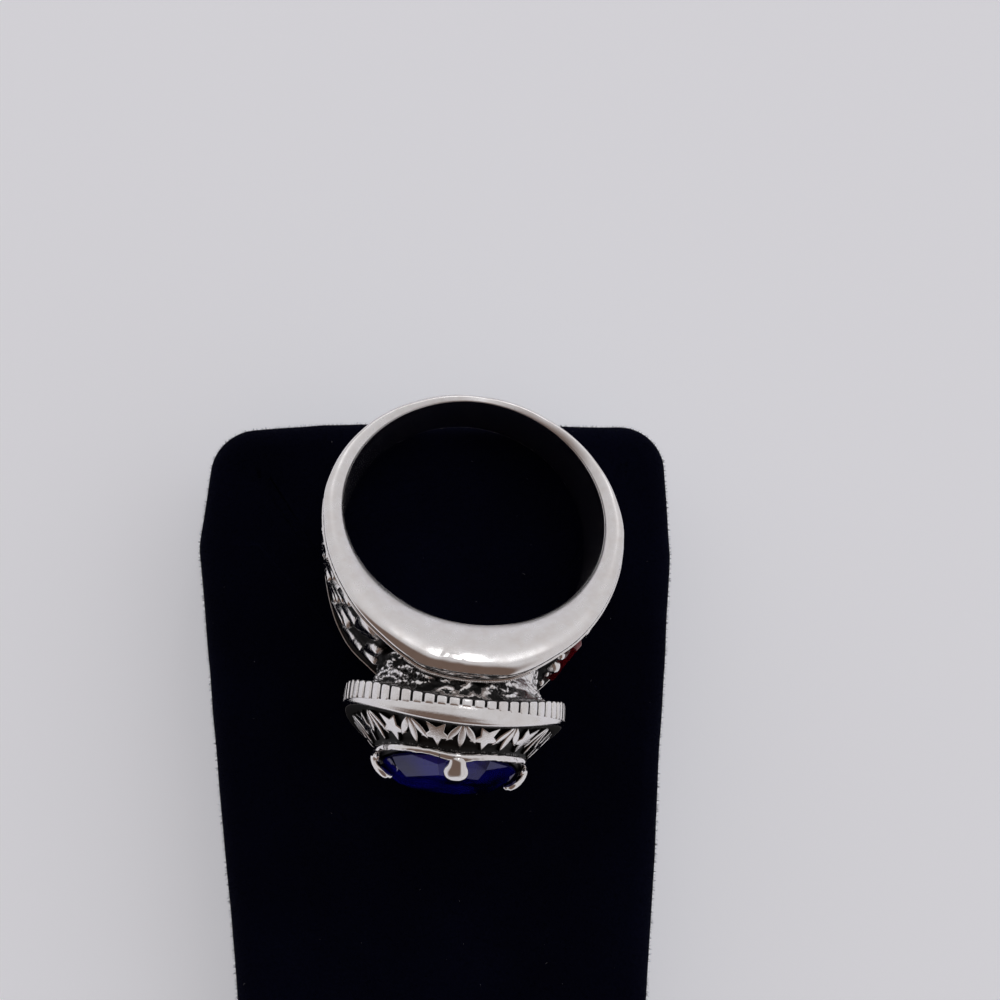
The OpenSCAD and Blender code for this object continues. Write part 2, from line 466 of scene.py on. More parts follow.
@dataclass
class Shank:
    """The band: polished hole, satin side faces with a rounded lip, two finely ridged edges and the floor."""

    bore_r: float = 9.9
    bore_edge: float = 0.1
    bore_polish: float = 0.35
    back_half: float = 2.2
    head_half: float = 5.6
    bulge: float = 0.4
    panel_depth: float = 0.4
    # Where the head, the shoulders' floor and their edges end
    head_end: float = 24.0
    panel_end: float = 70.0
    rail_end: float = 82.0
    # How wide the edge's ridge and groove are, and how far the groove lies under the rail
    ridge: float = 0.3
    groove: float = 0.14
    # The lip: how far over it rolls and how wide it is, at the back and more under the head
    lip_drops: tuple = (0.1, 0.62)
    lip_widths: tuple = (0.18, 1.15)
    lip_spread: float = 27.0
    # Angle from the head, radius of the rail, half width over the rails, radius of the outer middle
    stations: tuple = (
        (0, 14.1, 7.1, 12.9), (12, 14.1, 7.1, 12.7), (24, 13.45, 6.9, 12.0), (27, 13.3, 6.8, 12.85),
        (36, 12.92, 6.4, 12.45), (47, 12.42, 5.9, 11.75), (55, 12.1, 5.35, 11.45), (65, 11.8, 4.8, 11.25),
        (75, 11.55, 4.35, 11.2), (85, 11.4, 3.95, 11.3), (100, 11.1, 3.45, 11.45), (120, 10.8, 2.95, 11.4),
        (150, 10.5, 2.4, 11.25), (180, 10.4, 2.25, 11.2),
    )
    # The groove, the ridge and the fall to the floor: height over the lip, distance inwards, patina
    edge_profile: tuple = ((-0.05, 0.04, 1.0), (-0.05, 0.09, 1.0), (0.1, 0.13, 0.0), (0.15, 0.17, 0.0),
                           (0.13, 0.23, 0.1), (0.04, 0.26, 1.0))
    # The hidden edge of the left shoulder: angle with share of the width kept, and with the drop
    drawn_in: tuple = ((-86, 1.0), (-75, 0.98), (-58, 0.97), (-46, 0.94), (-38, 0.89), (-31, 0.82),
                       (-24, 0.8), (-8, 1.0))
    drawn_down: tuple = ((-95, 0.0), (-82, 0.25), (-52, 0.26), (-42, 0.36), (-33, 0.58), (-24, 0.7),
                         (-10, 0.0))
    # Where painted shade fills the lip of that hidden edge: first and last angle
    hidden_from: float = -82.0
    hidden_to: float = -18.0
    # How deep the dents are, how uneven the faces, how far the floor sinks under a relief panel
    dent: float = 0.03
    uneven: float = 0.0008
    sunk: float = 0.15
    # The crest of the fine ridge: height over the rail and distance inwards
    crest: tuple[float, float] = (0.02, 0.19)
    table: dict = field(default_factory=dict)

    def __post_init__(self) -> None:
        """Smooth the stations to one value for each tenth of a degree."""
        t = np.arange(0, 180.05, 0.1)
        data = np.array(self.stations, dtype=float)
        self.table["t"] = t
        for column, key, window in ((1, "rail_r", 71), (2, "rail_w", 71), (3, "middle_r", 31)):
            values = np.interp(t, data[:, 0], data[:, column])
            wide = np.concatenate([values[window:0:-1], values, values[-2:-window - 2:-1]])
            kernel = np.hanning(window + 2)[1:-1]
            smoothed = np.convolve(wide, kernel / kernel.sum(), mode="same")
            self.table[key] = smoothed[window:window + len(values)]

    def at(self, key: str, t: Array | float) -> Array:
        """Give one of the smoothed sizes at angle t."""
        return np.interp(np.abs(t), self.table["t"], self.table[key])

    def half_w(self, t: Array | float) -> Array:
        """Give half the width of the band at the hole."""
        headness = (1 + np.cos(np.radians(t))) / 2
        return self.back_half + (self.head_half - self.back_half) * headness ** 1.5

    def shoulder(self, t: Array | float) -> Array:
        """Give 1 where the edge has its ridge and groove, fading to 0 behind the shoulders."""
        return smoothstep(self.rail_end + 8, self.rail_end - 8, np.abs(t))

    def lip(self, sizes: tuple, t: Array | float) -> Array:
        """Give one of the lip's sizes, which swell under the head."""
        return sizes[0] + sizes[1] * np.exp(-(np.abs(t) / self.lip_spread) ** 2)

    def panel_w(self, t: Array | float) -> Array:
        """Give half the width between the two ridges."""
        return self.at("rail_w", t) - self.lip(self.lip_drops, t) - self.ridge * self.shoulder(t)

    def settle(self, t: Array, v: Array, r: Array) -> tuple[Array, Array]:
        """Draw in the left shoulder's hidden edge, which is narrower and lower than the one that is seen.

        Args:
            t: signed angles from the head, in degrees.
            v: distances from the middle.
            r: radii.

        Returns:
            The new distances and radii.
        """
        keep = np.interp(t, *zip(*self.drawn_in))
        low = np.interp(t, *zip(*self.drawn_down))
        low = low * smoothstep(0.0, -0.7, v / self.at("rail_w", t)) * smoothstep(10.2, 11.2, r)
        return np.where(v < 0, v * keep, v), r - low

    def floor_r(self, t: Array | float, v: Array | float) -> Array:
        """Give the radius of the outer surface.

        Args:
            t: angles from the head, in degrees.
            v: distances from the middle.

        Returns:
            The radii.
        """
        t = np.abs(t)
        depth = self.panel_depth * np.interp(t, [self.panel_end, self.rail_end], [1.0, 0.0])
        middle = self.at("middle_r", t)
        edge = np.where(t <= self.head_end, middle, self.at("rail_r", t) - depth)
        return edge + (middle - edge) * (1 - (v / self.at("rail_w", t)) ** 2)

    def half_section(self, t: float) -> list[tuple[float, float, float, float]]:
        """Give half of the section at angle t, from the bore's middle to the outer middle.

        Args:
            t: angle from the head, in degrees.

        Returns:
            Rows of radius, distance from the middle, patina and polish.
        """
        half, rail_r, rail_w = float(self.half_w(t)), float(self.at("rail_r", t)), float(self.at("rail_w", t))
        headness = (1 + math.cos(math.radians(t))) / 2
        on = float(self.shoulder(t))
        soft = self.bore_edge
        rows = [(self.bore_r, (half - soft) * f, 0.0, self.bore_polish) for f in (0.0, 0.3, 0.6, 0.85, 1.0)]
        for a in (0.4, 0.8, 1.2):
            rows.append((self.bore_r + soft * (1 - math.cos(a)), half - soft + soft * math.sin(a), 0.0, 1.0))
        lip_r = rail_r - self.groove * on
        reach = float(self.lip(self.lip_widths, t))
        drop = float(self.lip(self.lip_drops, t))
        start = (lip_r - reach - self.bore_r) / (lip_r - self.bore_r)
        shares = list(np.linspace(0.05, start, 9))
        shares += [start + (1 - start) * math.sin(a) for a in np.linspace(0.12, math.pi / 2, 13)]
        for f in shares:
            radius = self.bore_r + (lip_r - self.bore_r) * f
            x = max(0.0, (radius - (lip_r - reach)) / reach)
            fall = drop * (1 - math.sqrt(max(0.0, 1 - x * x)))
            width = half + (rail_w - half) * f + self.bulge * headness * 4 * f * (1 - f) - fall
            # Wear has polished the lip, and a patch of the face beside it
            worn = smoothstep(12.1, 12.7, radius) * smoothstep(12.0, 5.0, abs(t + 3))
            rows.append((radius, width, 0.0, float(max(smoothstep(0.2, 0.6, x), worn))))
        edge_w = rail_w - drop
        for rise, inwards, dark in self.edge_profile:
            rows.append((lip_r + rise * on, edge_w - inwards, dark * on, 1.0 - dark * on))
        inner = edge_w - self.ridge
        # The floor lies a little lower where a relief panel covers it
        under = self.sunk if self.head_end < abs(t) < self.rail_end else 0.0
        for f in (1.0, 0.97, 0.85, 0.65, 0.45, 0.2, 0.0):
            rows.append((float(self.floor_r(t, inner * f)) - under, inner * f, on, 1.0 - on))
        return rows

    def build(self, silver: Material) -> Object:
        """Build the band as one closed loop of sections.

        Args:
            silver: the finish.

        Returns:
            The finished band.
        """
        angles = np.arange(-180, 180, 1.0)
        rows = []
        for t in angles:
            half = self.half_section(float(t))
            rows += [(t, v, r, p, q) for r, v, p, q in half]
            rows += [(t, -v, r, p, q) for r, v, p, q in half[-2:0:-1]]
        t, v, r, patina, polish = np.array(rows).T
        # Painted shade: patina colour fills the lip of the left shoulder's hidden edge, which turns to the
        # pad, so that only its ridge is bright
        hidden = (v < 0) & (t > self.hidden_from) & (t < self.hidden_to)
        top = self.at("rail_r", t) - self.groove * self.shoulder(t) + 0.01
        patina = np.where(hidden & (r > top - 0.6) & (r < top), 1.0, patina)
        polish = np.where(hidden, 0.0, polish)
        v, low = self.settle(t, v, r)
        points = on_band(t, v, low)
        # Small dents in the polished patch of the side face break up its highlight
        dented = smoothstep(12.0, 12.6, r) * smoothstep(13.4, 12.9, r) * smoothstep(17.0, 8.0, np.abs(t + 4))
        points[:, 1] += np.where(v > 0, self.dent * dented * rough(points, 0.55, 21.0, 2), 0.0)
        # Slow unevenness of a hundredth of a millimetre, as a hand-finished face has it
        points *= (1 + self.uneven * rough(points, 3.5, 9.0, 2))[:, None]
        hole = np.hypot(points[:, 0], points[:, 2])
        points[:, ::2] *= np.where(hole < self.bore_r, self.bore_r / hole, 1.0)[:, None]
        faces = grid_faces(len(angles), len(rows) // len(angles), True, True, flip=True)
        return new_piece("shank", REST.lay(points), faces, silver,
                         attributes={"patina": patina, "polish": polish})

    def ridge_line(self, side: int, reach: float, count: int) -> Array:
        """Give points along the fine ridge of one edge.

        Args:
            side: 1 for the edge that is seen, -1 for the one on the pad.
            reach: angle of the last point on either side of the head.
            count: number of points.

        Returns:
            Rows of x, y, z in millimetres, upright.
        """
        t = np.linspace(-reach, reach, count)
        r = self.at("rail_r", t) + self.crest[0]
        v = side * (self.at("rail_w", t) - self.lip(self.lip_drops, t) - self.crest[1])
        return on_band(t, v, r)


def leaf(u: Array, v: Array, at: tuple[float, float], length: float, width: float, turn: float,
         curl: float = 0.0) -> Array:
    """Give the height, from 0 to 1, of a pointed leaf with a sunk midrib.

    Args:
        u: places along the surface.
        v: places across the surface.
        at: where the leaf's stalk starts.
        length: length of the leaf.
        width: widest width.
        turn: direction in degrees, from u towards v.
        curl: how far the tip bends aside.

    Returns:
        Heights with the shape of u.
    """
    c, s = math.cos(math.radians(turn)), math.sin(math.radians(turn))
    x = ((u - at[0]) * c + (v - at[1]) * s) / length
    y = (-(u - at[0]) * s + (v - at[1]) * c) - curl * x * x
    half = width / 2 * np.sqrt(np.clip(x * (1 - x) * 4, 0, 1)) * (1.25 - 0.5 * x) + 1e-6
    across = np.abs(y) / half
    body = np.sqrt(np.clip(1 - across ** 2.5, 0, 1)) - 0.12 * np.exp(-(across / 0.14) ** 2)
    return np.where((x > 0) & (x < 1) & (across < 1), np.clip(body, 0, 1), 0.0)


def bead(u: Array, v: Array, at: tuple[float, float], radius: float) -> Array:
    """Give the height, from 0 to 1, of a round bead of the given radius."""
    return np.sqrt(np.clip(1 - ((u - at[0]) ** 2 + (v - at[1]) ** 2) / radius ** 2, 0, 1))


def bar(u: Array, v: Array, start: float, end: float, half: float) -> Array:
    """Give the height, from 0 to 1, of a rounded bar across the shoulder.

    Args:
        u: places along the surface.
        v: places across the surface.
        start: where the bar starts along the surface.
        end: where it ends.
        half: half of its length across.

    Returns:
        Heights with the shape of u.
    """
    x = np.abs(u - (start + end) / 2) / ((end - start) / 2)
    y = np.abs(v) / half
    body = np.sqrt(np.clip(1 - x ** 4, 0, 1)) * np.sqrt(np.clip(1 - y ** 12, 0, 1))
    return np.where((x < 1) & (y < 1), body, 0.0)


@dataclass
class Shoulders:
    """The two relief panels: a laurel spray on the left, beads and raised bars on the right."""

    shank: Shank
    first: float = 25.2
    last: float = 80.0
    radius: float = 12.3
    # How high the leaves of the right panel, of the left one, and the beads and bars stand
    relief: float = 0.4
    bold: float = 1.5
    bars: float = 0.5
    proud: float = 1.4
    grain: float = 0.012
    # How far a panel stays from the ridges, lies under the floor at its edges, and more at its ends
    margin: float = 0.02
    rooted: float = 0.06
    tucked: float = 0.12
    rows: int = 260
    columns: int = 240
    # For each row of leaves: place across, length, width, turn
    leaves: tuple = ((-0.6, 2.8, 1.0, -34), (-0.05, 3.0, 1.15, -40), (0.5, 3.1, 1.25, -46),
                     (0.95, 2.8, 1.1, -52))
    leaf_first: float = 2.6
    leaf_step: float = 1.95
    # Broad leaves at the head's end: distance from the head, place across, length, width, turn
    lobes: tuple = ((1.0, 5.6, 3.2, 2.0, -62), (0.2, 2.6, 2.4, 1.3, -62), (0.3, -0.4, 2.6, 1.1, -52),
                    (1.5, -2.4, 2.6, 1.0, -40))
    # Beads beside the enamel: place across and radius, and their angle. Then the bars' angles
    beads: tuple = ((-4.2, 0.4), (-1.9, 0.3), (0.6, 0.6), (3.2, 0.4))
    beads_at: float = 33.4
    bars_at: tuple = ((41.4, 46.7), (52.1, 55.8))
    bar_half: float = 5.0
    back_leaves_at: float = 57.5

    def along(self, t: Array | float) -> Array | float:
        """Give the distance along the panel at angle t, from its start at the head."""
        return (t - self.first) * math.pi / 180 * self.radius

    def left_height(self, u: Array, v: Array) -> Array:
        """Draw the laurel leaves, all laid one way.

        Args:
            u: distances from the panel's start at the head, in millimetres.
            v: distances from the band's middle, in millimetres.

        Returns:
            Heights in millimetres.
        """
        height = np.zeros_like(u)
        for i in range(5):
            start = self.leaf_first + self.leaf_step * i
            span = float(np.interp(start, [0, 11.5], [5.9, 3.9]))
            odd = i % 2
            for row, (base, length, width, turn) in enumerate(self.leaves):
                at = (start + 0.95 * (row % 2), base * span + 0.25 * odd)
                tone = 0.82 + 0.18 * ((row + i) % 2)
                height = np.maximum(height, tone * leaf(u, v, at, length, width, turn + 5 * odd, 0.25))
        for start, place, length, width, turn in self.lobes:
            height = np.maximum(height, leaf(u, v, (start, place), length, width, turn, 0.2))
        return height * self.relief * self.bold

    def right_height(self, u: Array, v: Array) -> Array:
        """Draw beads, two raised bars that hold the enamel, and leaves towards the back.

        Args:
            u: distances from the panel's start at the head, in millimetres.
            v: distances from the band's middle, in millimetres.

        Returns:
            Heights in millimetres.
        """
        height = np.zeros_like(u)
        for place, size in self.beads:
            one = bead(u, v, (self.along(self.beads_at), place), size)
            height = np.maximum(height, one * size * self.proud)
        for start, end in self.bars_at:
            one = bar(u, v, self.along(start), self.along(end), self.bar_half)
            height = np.maximum(height, one * self.bars * self.proud)
        for i in range(4):
            start = self.along(self.back_leaves_at) + 1.15 * i
            for side in (-1, 1):
                for base in (0.2, 1.55, 2.9):
                    one = leaf(u, v, (start, side * base), 2.4, 0.62, side * 20, side * 0.3)
                    height = np.maximum(height, self.relief * one)
        return height

    def build(self, side: int, silver: Material) -> Object:
        """Build one panel, sunk at its rim so that it closes against the band.

        Args:
            side: 1 for the right shoulder, -1 for the left one.
            silver: the finish.

        Returns:
            The finished panel.
        """
        t = np.linspace(self.first, self.last, self.rows)[:, None] * np.ones((1, self.columns))
        w = np.linspace(-1, 1, self.columns)[None, :] * np.ones((self.rows, 1))
        v = w * (self.shank.panel_w(t) - self.margin)
        u = self.along(t)
        ends = smoothstep(self.last, self.last - 9, t) * smoothstep(self.first, self.first + 0.8, t)
        edge = smoothstep(1.0, 0.975, np.abs(w)) * ends
        height = edge * (self.left_height(u, v) if side < 0 else self.right_height(u, v))
        flat = np.stack([u.ravel(), v.ravel(), np.zeros(u.size)], axis=1)
        grain = rough(flat, 0.45, 3.0 + side).reshape(u.shape)
        r = self.shank.floor_r(t, v) + height + self.grain * grain * edge - self.rooted
        r = r - self.tucked * (1 - ends)
        v, r = self.shank.settle(t * side, v, r)
        points = on_band(t * side, v, r)
        share = height / self.relief
        patina = 1 - smoothstep(0.42, 0.72, share + 0.12 * grain)
        name = "left_shoulder" if side < 0 else "right_shoulder"
        return new_piece(name, REST.lay(points), grid_faces(self.rows, self.columns, flip=side > 0), silver,
                         attributes={"patina": patina, "polish": 0.5 * smoothstep(0.7, 1.0, share)})


@dataclass
class Head:
    """The neck, the flange's core and bevel, the tapered band's ground and the stone's seat."""

    scallop: float = 0.2
    slots: float = 0.88
    columns: int = 720
    # Where the neck is smooth and bright, and where painted shade darkens it: angle and spread, in degrees
    smooth_at: tuple[float, float] = (45, 13)
    painted_shade_at: tuple[float, float] = (165, 14)
    # Radius, height, arch, share of the rim's dip, share of the slots' cut, patina, roughness, polish, steps
    rows: tuple = (
        (5.9, 11.0, 0, 0, 0, 0.9, 0.1, 0, 6),
        (5.75, 12.0, 0, 0, 0, 0.85, 0.3, 0, 8),
        (5.7, 13.0, 0.01, 0, 0, 0.72, 0.4, 0, 9),
        (6.1, 14.2, 0.02, 0, 0, 0.7, 0.38, 0, 8),
        (6.6, 15.1, 0.03, 0, 0, 0.72, 0.24, 0, 5),
        (7.1, 15.55, 0.034, 0, 0, 0.85, 0.06, 0, 3),
        (7.6, 15.7, 0.034, 0, 0, 0.5, 0, 0, 3),
        (7.74, 15.8, 0.034, 0, 0, 1, 0, 0, 8),
        (7.76, 17.0, 0.034, 0, 1, 1, 0, 0, 3),
        (7.93, 17.1, 0.034, 0, 1, 0, 0, 1, 3),
        (7.97, 17.16, 0.034, 0, 0.9, 0, 0, 1, 4),
        (7.97, 17.25, 0.034, 0, 0.3, 0, 0, 1, 4),
        (7.9, 17.36, 0.034, 0, 0, 0, 0, 1, 3),
        (7.78, 17.43, 0.034, 0, 0, 0.2, 0, 1, 3),
        (7.62, 17.44, 0.034, 0, 0, 1, 0, 0, 3),
        (7.15, 17.4, 0.034, 0, 0, 1, 0, 0, 3),
        (6.93, 17.26, 0.033, 0, 0, 1, 0, 0, 4),
        (6.5, 17.46, 0.031, 0, 0, 1, 0.05, 0, 5),
        (6.08, 17.76, 0.03, 0, 0, 1, 0.05, 0, 5),
        (5.66, 18.06, 0.029, 0.1, 0, 1, 0.05, 0, 4),
        (5.36, 18.32, 0.028, 0.3, 0, 0.95, 0, 0, 3),
        (5.3, 18.7, 0.026, 0.8, 0, 0.6, 0, 0, 3),
        (5.1, 19.08, 0.025, 1, 0, 0.5, 0, 0, 3),
        (4.9, 19.05, 0.025, 1, 0, 1, 0, 0, 3),
        (4.84, 18.8, 0.012, 0.5, 0, 1, 0, 0, 3),
        (4.8, 18.55, 0, 0, 0, 1, 0, 0, 6),
        (0.5, 15.6, 0, 0, 0, 1, 0, 0, 1),
    )

    def dip(self, a: Array | float) -> Array:
        """Give the share of the rim's dip at angle a, nothing at each claw and flat between two."""
        return 1 - np.abs(np.cos(2 * a)) ** 6

    def build(self, silver: Material) -> Object:
        """Build the turned form, ridged where the casting is left rough.

        Args:
            silver: the finish.

        Returns:
            The finished head.
        """
        data = np.array(self.rows, dtype=float)
        fine = []
        for one, two in zip(data[:-1], data[1:]):
            fine += [one + (two - one) * k / one[8] for k in range(int(one[8]))]
        fine = np.array(fine + [data[-1]])
        a = np.ones((len(fine), 1)) * (-np.arange(self.columns) * 2 * math.pi / self.columns)
        whole = (fine[:, k][:, None] * np.ones_like(a) for k in range(8))
        r, z, arch, share, cut, patina, depth, polish = whole
        z = z - self.slots * cut * np.sin(a) ** 4
        points = on_head(a, r, z)
        lumps = ridges(points, (0.7, 0.7, 1.3), 4.0).reshape(r.shape)
        grit = rough(points, 0.3, 5.0).reshape(r.shape)
        # A smooth bright patch on the right of the near side, and painted shade, in patina colour, on its
        # left
        turned = np.degrees(a) % 360
        patch = np.exp(-((turned - self.smooth_at[0]) / self.smooth_at[1]) ** 2) * smoothstep(11.8, 12.6, z)
        hollow = np.exp(-((turned - self.painted_shade_at[0]) / self.painted_shade_at[1]) ** 2) * smoothstep(13.4, 12.2, z)
        r = r + depth * (1 - 0.95 * patch) * (lumps - 0.5 + 0.15 * grit)
        crest = smoothstep(0.45, 0.9, lumps + 0.12 * grit)
        # Painted light and shade: the right side is left barer and so lighter, and the left darker, as light
        # falls from the right
        bare_and_lit = crest + 0.25 * smoothstep(0.2, 0.9, np.cos(a)) + patch - hollow
        patina = np.clip(np.where(depth > 0.08, patina + 0.02 - 0.76 * bare_and_lit, patina), 0, 1)
        z = z - self.scallop * share * self.dip(a) - arch * (r * np.cos(a)) ** 2
        points = on_head(a, r, z)
        return new_piece("head", REST.lay(points), capped_faces(len(fine), self.columns), silver,
                         attributes={"patina": patina, "polish": polish})


def open_tree(name: str, inputs: dict[str, str]) -> tuple[NodeTree, Callable[..., Node], dict]:
    """Start a Geometry Nodes tree with named inputs.

    Args:
        name: the tree's name.
        inputs: the inputs' names with their kinds, as in Float or Vector.

    Returns:
        The tree, what adds a node to it, and the sockets that give the inputs.
    """
    tree = bpy.data.node_groups.new(name, "GeometryNodeTree")
    tree.interface.new_socket("Geometry", in_out="OUTPUT", socket_type="NodeSocketGeometry")
    for key, kind in inputs.items():
        tree.interface.new_socket(key, in_out="INPUT", socket_type=f"NodeSocket{kind}")
    add = partial(add_node, tree)
    return tree, add, add("NodeGroupInput").outputs


def vary(add: Callable[..., Node], given: dict) -> Node:
    """Give each copy a factor of about 1, from the tree's Jitter and Seed."""
    change = add("FunctionNodeRandomValue", {"data_type": "FLOAT", 2: -1.0, 3: 1.0}, {"Seed": given["Seed"]})
    return add(MATH, {"operation": "MULTIPLY_ADD", 2: 1.0}, {0: change.outputs[1], 1: given["Jitter"]})


def end_tree(add: Callable[..., Node], given: dict, where: dict, material: Material,
             sink: NodeSocket | None = None) -> None:
    """End a tree: copy its Form, make the copies real, sink each point where asked, and set the finish.

    Args:
        add: what adds a node to the tree.
        given: the sockets that give the tree's inputs.
        where: what gives the copies' Points, Rotation and Scale.
        material: the finish.
        sink: how far each point goes down for each square millimetre of its x.
    """
    form = add("GeometryNodeObjectInfo", {}, {"Object": given["Form"]}).outputs["Geometry"]
    copies = add("GeometryNodeInstanceOnPoints", {}, {"Instance": form, **where})
    result = add("GeometryNodeRealizeInstances", {}, {"Geometry": copies})
    if sink is not None:
        place = add("GeometryNodeInputPosition")
        x = add("ShaderNodeSeparateXYZ", {}, {0: place})
        square = add(MATH, MULTIPLY, {0: x, 1: x})
        sag = add(MATH, MULTIPLY, {0: square, 1: sink})
        down = add(MATH, {"operation": "MULTIPLY", 1: -1.0}, {0: sag})
        fall = add(COMBINE, {}, {"Z": down})
        result = add("GeometryNodeSetPosition", {}, {"Geometry": result, "Offset": fall})
    dressed = add("GeometryNodeSetMaterial", {"Material": material}, {"Geometry": result})
    add("NodeGroupOutput", {}, {0: dressed})


def run_tree(tree: NodeTree, values: dict, start: Mesh, place: Matrix, material: Material) -> Object:
    """Run a tree once, keep its result as a plain mesh in metres, and remove the small form that it copied.

    Args:
        tree: the tree to run, which names the piece.
        values: its inputs by name, set by identifier before it is first evaluated.
        start: the mesh that the tree starts from.
        place: from the tree's millimetres to the row's.
        material: the finish.

    Returns:
        The finished piece.
    """
    holder = bpy.data.objects.new(tree.name, start)
    bpy.context.scene.collection.objects.link(holder)
    modifier = holder.modifiers.new("copies", "NODES")
    modifier.node_group = tree
    for item in tree.interface.items_tree:
        if item.in_out == "INPUT" and item.name in values:
            modifier[item.identifier] = values[item.name]
    graph = bpy.context.evaluated_depsgraph_get()
    mesh = bpy.data.meshes.new_from_object(holder.evaluated_get(graph))
    holder.modifiers.clear()
    mesh.transform(Matrix.Scale(MM, 4) @ place)
    mesh.materials.clear()
    mesh.materials.append(material)
    mesh.polygons.foreach_set("material_index", [0] * len(mesh.polygons))
    mesh.polygons.foreach_set("use_smooth", [True] * len(mesh.polygons))
    holder.data = mesh
    bpy.data.objects.remove(values["Form"])
    return holder


@dataclass
class RingOfThings:
    """A Geometry Nodes tree that sets copies of a small form round the head and bends them with its arch."""

    name: str
    count: int
    radius: float
    height: float
    arch: float
    lean: float
    size: tuple[float, float, float]
    first: float = 0.0
    shorten: float = 0.0
    drop: float = 0.0
    jitter: float = 0.0
    seed: int = 7

    def tree(self, material: Material) -> NodeTree:
        """Build the tree: a circle of points, a copy on each, then the arch and the finish.

        Args:
            material: the finish that the tree sets.

        Returns:
            The tree, with named inputs for its sizes.
        """
        kinds = {"Form": "Object", "Count": "Int", "Size": "Vector", "Seed": "Int"}
        sizes = ("Radius", "Height", "Arch", "Lean", "First", "Shorten", "Drop", "Jitter")
        tree, add, given = open_tree(self.name, kinds | {key: "Float" for key in sizes})
        circle = add("GeometryNodeMeshCircle", {}, {"Vertices": given["Count"], "Radius": given["Radius"]})
        spin = add(COMBINE, {}, {"Z": given["First"]})
        spun = add("GeometryNodeTransform", {}, {"Geometry": circle, "Rotation": spin})
        index = add("GeometryNodeInputIndex")
        step = add(MATH, {"operation": "DIVIDE", 0: 2 * math.pi}, {1: given["Count"]})
        angle = add(MATH, {"operation": "MULTIPLY_ADD"}, {0: index, 1: step, 2: given["First"]})
        quarter = add(MATH, {"operation": "ADD", 1: math.pi / 2}, {0: angle})
        euler = add(COMBINE, {}, {"X": given["Lean"], "Z": quarter})
        # The fourth power of the sine is 1 in the near and far middle and nothing at the sides
        sine = add(MATH, {"operation": "SINE"}, {0: angle})
        whole = add(MATH, {"operation": "ABSOLUTE"}, {0: sine})
        fourth = add(MATH, {"operation": "POWER", 1: 4.0}, {0: whole})
        less = add(MATH, MULTIPLY, {0: fourth, 1: given["Shorten"]})
        keep = add(MATH, {"operation": "SUBTRACT", 0: 1.0}, {1: less})
        low = add(MATH, MULTIPLY, {0: fourth, 1: given["Drop"]})
        level = add(MATH, {"operation": "SUBTRACT"}, {0: given["Height"], 1: low})
        wobble = vary(add, given)
        tall = add(MATH, MULTIPLY, {0: keep, 1: wobble})
        factor = add(COMBINE, {"Z": 1.0}, {"X": wobble, "Y": tall})
        scale = add("ShaderNodeVectorMath", MULTIPLY, {0: given["Size"], 1: factor})
        up = add(COMBINE, {}, {"Z": level})
        raised = add("GeometryNodeSetPosition", {}, {"Geometry": spun, "Offset": up})
        end_tree(add, given, {"Points": raised, "Rotation": euler, "Scale": scale}, material, given["Arch"])
        return tree

    def build(self, form: Object, material: Material) -> Object:
        """Set the copies round the head.

        Args:
            form: the small form, drawn about its own middle.
            material: the finish.

        Returns:
            The finished piece.
        """
        values = {"Form": form, "Count": self.count, "Radius": self.radius, "Height": self.height,
                  "Arch": self.arch, "Lean": math.radians(self.lean), "First": math.radians(self.first),
                  "Shorten": self.shorten, "Drop": self.drop, "Jitter": self.jitter, "Size": self.size,
                  "Seed": self.seed}
        return run_tree(self.tree(material), values, bpy.data.meshes.new(self.name), REST.matrix(), material)


def small_form(name: str, outlines: list[list[tuple[float, float]]],
               layers: list[tuple[float, float, float]]) -> Object:
    """Make one small raised form from its outlines, layer over layer.

    Args:
        name: the form's name.
        outlines: for each part the points round it, counter-clockwise.
        layers: for each layer its inset, height and patina.

    Returns:
        The form, to be copied and then removed.
    """
    points, patina, faces = [], [], []
    for outline in outlines:
        base, n = len(points), len(outline)
        cx, cy = (sum(p[k] for p in outline) / n for k in (0, 1))
        for inset, z, dark in layers:
            points += [(cx + (x - cx) * (1 - inset), cy + (y - cy) * (1 - inset), z) for x, y in outline]
            patina += [dark] * n
        points.append((cx, cy, layers[-1][1]))
        patina.append(layers[-1][2])
        faces += (grid_faces(len(layers), n, False, True) + base).tolist()
        last = base + (len(layers) - 1) * n
        faces += [[last + i, last + (i + 1) % n, last + n] for i in range(n)]
        faces.append([base + i for i in range(n)][::-1])
    dark = np.array(patina)
    return new_form(name, np.array(points), faces, patina=dark, polish=0.3 * (dark < 0.3))


